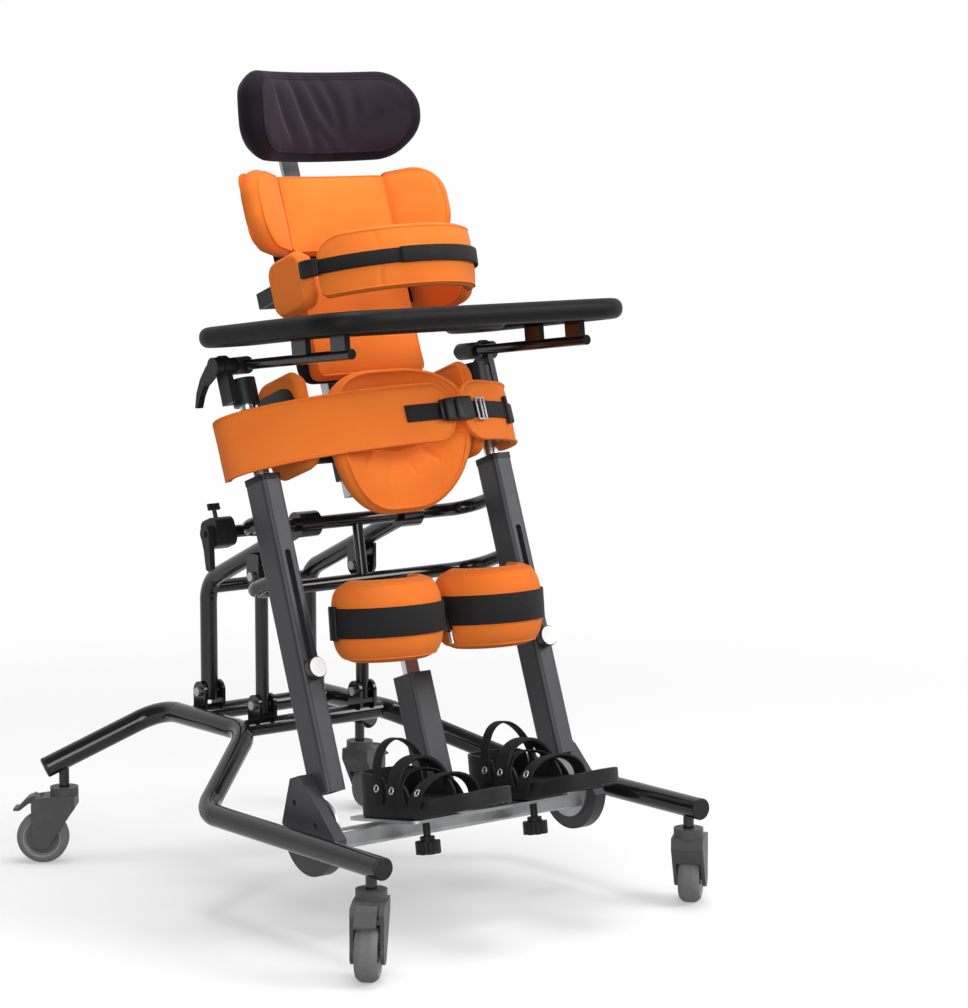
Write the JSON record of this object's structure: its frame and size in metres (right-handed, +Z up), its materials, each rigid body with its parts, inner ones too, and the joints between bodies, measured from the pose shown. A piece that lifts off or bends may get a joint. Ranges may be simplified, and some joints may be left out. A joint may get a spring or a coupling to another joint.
{
  "type": "standing frame",
  "caption": "Child's standing frame on a castor base: a tilting column with sandals, knee cups, hip belt, back, chest and head supports, and a tray.",
  "frame": {"origin": "middle of the outer box at floor level", "axes": "+Z up, -Y to the front (the way the user faces), +X to the right seen from the front"},
  "size_m": [0.6687, 0.8774, 1.139],
  "materials": {
    "frame_black": "gloss black powder coat on steel tube",
    "upright_grey": "satin dark grey coat",
    "black_plastic": "moulded black plastic, fine grain",
    "castor_grey": "moulded mid grey plastic",
    "wheel_grey": "light grey non-marking tread on a grey hub",
    "steel": "bright zinc and satin steel",
    "orange_fabric": "brushed velour over foam, piped seams",
    "head_fabric": "dark plum stretch fabric over foam",
    "webbing": "black woven webbing",
    "knob_white": "white cap on a dark skirt",
    "tray_board": "black laminate",
    "tray_rim": "black soft foam edge",
    "sandal_black": "moulded black shell with webbing straps"
  },
  "bodies": {
    "chassis": {"base_frame": "frame_black", "tube_caps": "black_plastic", "castor_stems": "steel", "trestle_frame": "frame_black", "trestle_struts": "frame_black", "trestle_bolts": "steel"},
    "column": {"uprights": "upright_grey", "upright_caps": "black_plastic", "rear_bows": "frame_black", "foot_brackets": "black_plastic", "foot_beam": "steel", "knee_housing": "black_plastic", "tilt_clamp": "black_plastic"},
    "upper_frame": {"inner_posts": "steel", "post_bridge": "black_plastic", "tray_clamps": "black_plastic", "hip_guides": "black_plastic", "hip_pads": "orange_fabric", "sacral_pad": "orange_fabric", "hip_belt": "orange_fabric", "belt_strap": "webbing"},
    "tray": {"tray_rods": "steel", "tray_board": "tray_board", "tray_rim": "tray_rim"},
    "backrest": {"back_spine": "steel", "back_shell": "black_plastic", "back_pads": "orange_fabric", "wing_pads": "orange_fabric", "lateral_arms": "steel", "lateral_pads": "orange_fabric", "chest_pad": "orange_fabric", "chest_strap": "webbing"},
    "headrest": {"head_stem": "steel", "head_pad": "head_fabric"},
    "tilt_lever": {"tilt_lever": "black_plastic"},
    "height_knob_left": {"height_knob_left": "knob_white"},
    "height_knob_right": {"height_knob_right": "knob_white"},
    "tray_lever_left": {"tray_lever_left": "black_plastic"},
    "tray_lever_right": {"tray_lever_right": "black_plastic"},
    "rod_holders": {"rod_holders": "black_plastic"},
    "head_knob": {"head_knob": "black_plastic"},
    "sandal_left": {"sandal_left": "sandal_black"},
    "sandal_right": {"sandal_right": "sandal_black"},
    "sandal_knob_left": {"sandal_knob_left": "black_plastic"},
    "sandal_knob_right": {"sandal_knob_right": "black_plastic"},
    "knee_bar": {"knee_bar": "steel"},
    "knee_cup_left": {"knee_cup_left": "orange_fabric"},
    "knee_cup_right": {"knee_cup_right": "orange_fabric"},
    "castor_fork_fl": {"castor_fork_fl": "castor_grey"},
    "castor_wheel_fl": {"castor_wheel_fl": "wheel_grey"},
    "brake_pedal_fl": {"brake_pedal_fl": "castor_grey"},
    "castor_fork_fr": {"castor_fork_fr": "castor_grey"},
    "castor_wheel_fr": {"castor_wheel_fr": "wheel_grey"},
    "brake_pedal_fr": {"brake_pedal_fr": "castor_grey"},
    "castor_fork_rl": {"castor_fork_rl": "castor_grey"},
    "castor_wheel_rl": {"castor_wheel_rl": "wheel_grey"},
    "brake_pedal_rl": {"brake_pedal_rl": "castor_grey"},
    "castor_fork_rr": {"castor_fork_rr": "castor_grey"},
    "castor_wheel_rr": {"castor_wheel_rr": "wheel_grey"},
    "brake_pedal_rr": {"brake_pedal_rr": "castor_grey"}
  },
  "joints": [
    {"name": "castor_swivel_fl", "type": "hinge", "parent": "chassis", "child": "castor_fork_fl", "pos_m": [-0.27, -0.376, 0.1], "axis": [0, 0, 1], "continuous": true},
    {"name": "castor_roll_fl", "type": "hinge", "parent": "castor_fork_fl", "child": "castor_wheel_fl", "pos_m": [-0.29223, -0.39902, 0.0375], "axis": [0.7193, -0.6947, 0], "continuous": true},
    {"name": "brake_pedal_hinge_fl", "type": "hinge", "parent": "castor_fork_fl", "child": "brake_pedal_fl", "pos_m": [-0.2964, -0.40333, 0.092], "axis": [0.7193, -0.6947, 0], "range_deg": [0, 20]},
    {"name": "castor_swivel_fr", "type": "hinge", "parent": "chassis", "child": "castor_fork_fr", "pos_m": [0.27, -0.376, 0.1], "axis": [0, 0, 1], "continuous": true},
    {"name": "castor_roll_fr", "type": "hinge", "parent": "castor_fork_fr", "child": "castor_wheel_fr", "pos_m": [0.29415, -0.35501, 0.0375], "axis": [-0.6561, 0.7547, 0], "continuous": true},
    {"name": "brake_pedal_hinge_fr", "type": "hinge", "parent": "castor_fork_fr", "child": "brake_pedal_fr", "pos_m": [0.29868, -0.35107, 0.092], "axis": [-0.6561, 0.7547, 0], "range_deg": [0, 20]},
    {"name": "castor_swivel_rl", "type": "hinge", "parent": "chassis", "child": "castor_fork_rl", "pos_m": [-0.26586, 0.38238, 0.1], "axis": [0, 0, 1], "continuous": true},
    {"name": "castor_roll_rl", "type": "hinge", "parent": "castor_fork_rl", "child": "castor_wheel_rl", "pos_m": [-0.29073, 0.40252, 0.0375], "axis": [-0.6293, -0.7771, 0], "continuous": true},
    {"name": "brake_pedal_hinge_rl", "type": "hinge", "parent": "castor_fork_rl", "child": "brake_pedal_rl", "pos_m": [-0.29539, 0.40629, 0.092], "axis": [-0.6293, -0.7771, 0], "range_deg": [0, 20]},
    {"name": "castor_swivel_rr", "type": "hinge", "parent": "chassis", "child": "castor_fork_rr", "pos_m": [0.26586, 0.38238, 0.1], "axis": [0, 0, 1], "continuous": true},
    {"name": "castor_roll_rr", "type": "hinge", "parent": "castor_fork_rr", "child": "castor_wheel_rr", "pos_m": [0.29437, 0.3969, 0.0375], "axis": [-0.454, 0.891, 0], "continuous": true},
    {"name": "brake_pedal_hinge_rr", "type": "hinge", "parent": "castor_fork_rr", "child": "brake_pedal_rr", "pos_m": [0.29972, 0.39963, 0.092], "axis": [-0.454, 0.891, 0], "range_deg": [0, 20]},
    {"name": "tilt", "type": "hinge", "parent": "chassis", "child": "column", "pos_m": [0, 0.022, 0.52], "axis": [1, 0, 0], "range_deg": [-30, 10]},
    {"name": "tilt_lever_turn", "type": "hinge", "parent": "column", "child": "tilt_lever", "pos_m": [-0.25, 0.022, 0.52], "axis": [1, 0, 0], "range_deg": [0, 50]},
    {"name": "height", "type": "slide", "parent": "column", "child": "upper_frame", "axis": [0, 0.342, 0.9397], "range_m": [0, 0.16]},
    {"name": "height_knob_turn_left", "type": "hinge", "parent": "upper_frame", "child": "height_knob_left", "pos_m": [-0.198, -0.14832, 0.35319], "axis": [0, -0.9397, 0.342], "range_deg": [0, 300]},
    {"name": "tray_lever_turn_left", "type": "hinge", "parent": "upper_frame", "child": "tray_lever_left", "pos_m": [-0.235, 0.01899, 0.74564], "axis": [1, 0, 0], "range_deg": [0, 35]},
    {"name": "height_knob_turn_right", "type": "hinge", "parent": "upper_frame", "child": "height_knob_right", "pos_m": [0.198, -0.14832, 0.35319], "axis": [0, -0.9397, 0.342], "range_deg": [0, 300]},
    {"name": "tray_lever_turn_right", "type": "hinge", "parent": "upper_frame", "child": "tray_lever_right", "pos_m": [0.235, 0.01899, 0.74564], "axis": [1, 0, 0], "range_deg": [0, 35]},
    {"name": "tray_angle", "type": "hinge", "parent": "upper_frame", "child": "rod_holders", "pos_m": [0, 0.01899, 0.74564], "axis": [1, 0, 0], "range_deg": [-8, 8]},
    {"name": "tray_slide", "type": "slide", "parent": "rod_holders", "child": "tray", "axis": [0, -0.9925, 0.1219], "range_m": [-0.05, 0.008]},
    {"name": "back_height", "type": "slide", "parent": "upper_frame", "child": "backrest", "axis": [0, 0.342, 0.9397], "range_m": [0, 0.06]},
    {"name": "head_height", "type": "slide", "parent": "backrest", "child": "headrest", "axis": [0, 0.342, 0.9397], "range_m": [0, 0.05]},
    {"name": "head_knob_turn", "type": "hinge", "parent": "backrest", "child": "head_knob", "pos_m": [0.0324, 0.15865, 0.94808], "axis": [1, 0, 0], "range_deg": [0, 300]},
    {"name": "knee_height", "type": "slide", "parent": "column", "child": "knee_bar", "axis": [0, 0.342, 0.9397], "range_m": [-0.035, 0.04]},
    {"name": "knee_turn_left", "type": "hinge", "parent": "knee_bar", "child": "knee_cup_left", "pos_m": [-0.014, -0.17095, 0.39336], "axis": [0, 0.342, 0.9397], "range_deg": [-6, 15]},
    {"name": "knee_turn_right", "type": "hinge", "parent": "knee_bar", "child": "knee_cup_right", "pos_m": [0.014, -0.17095, 0.39336], "axis": [0, 0.342, 0.9397], "range_deg": [-15, 6]},
    {"name": "sandal_turn_left", "type": "hinge", "parent": "column", "child": "sandal_left", "pos_m": [-0.092, -0.25573, 0.15833], "axis": [0, 0.1392, 0.9903], "range_deg": [-6, 5]},
    {"name": "sandal_knob_turn_left", "type": "hinge", "parent": "column", "child": "sandal_knob_left", "pos_m": [-0.092, -0.26143, 0.11773], "axis": [0, 0.1392, 0.9903], "range_deg": [0, 300]},
    {"name": "sandal_turn_right", "type": "hinge", "parent": "column", "child": "sandal_right", "pos_m": [0.092, -0.25573, 0.15833], "axis": [0, 0.1392, 0.9903], "range_deg": [-5, 6]},
    {"name": "sandal_knob_turn_right", "type": "hinge", "parent": "column", "child": "sandal_knob_right", "pos_m": [0.092, -0.26143, 0.11773], "axis": [0, 0.1392, 0.9903], "range_deg": [0, 300]}
  ]
}
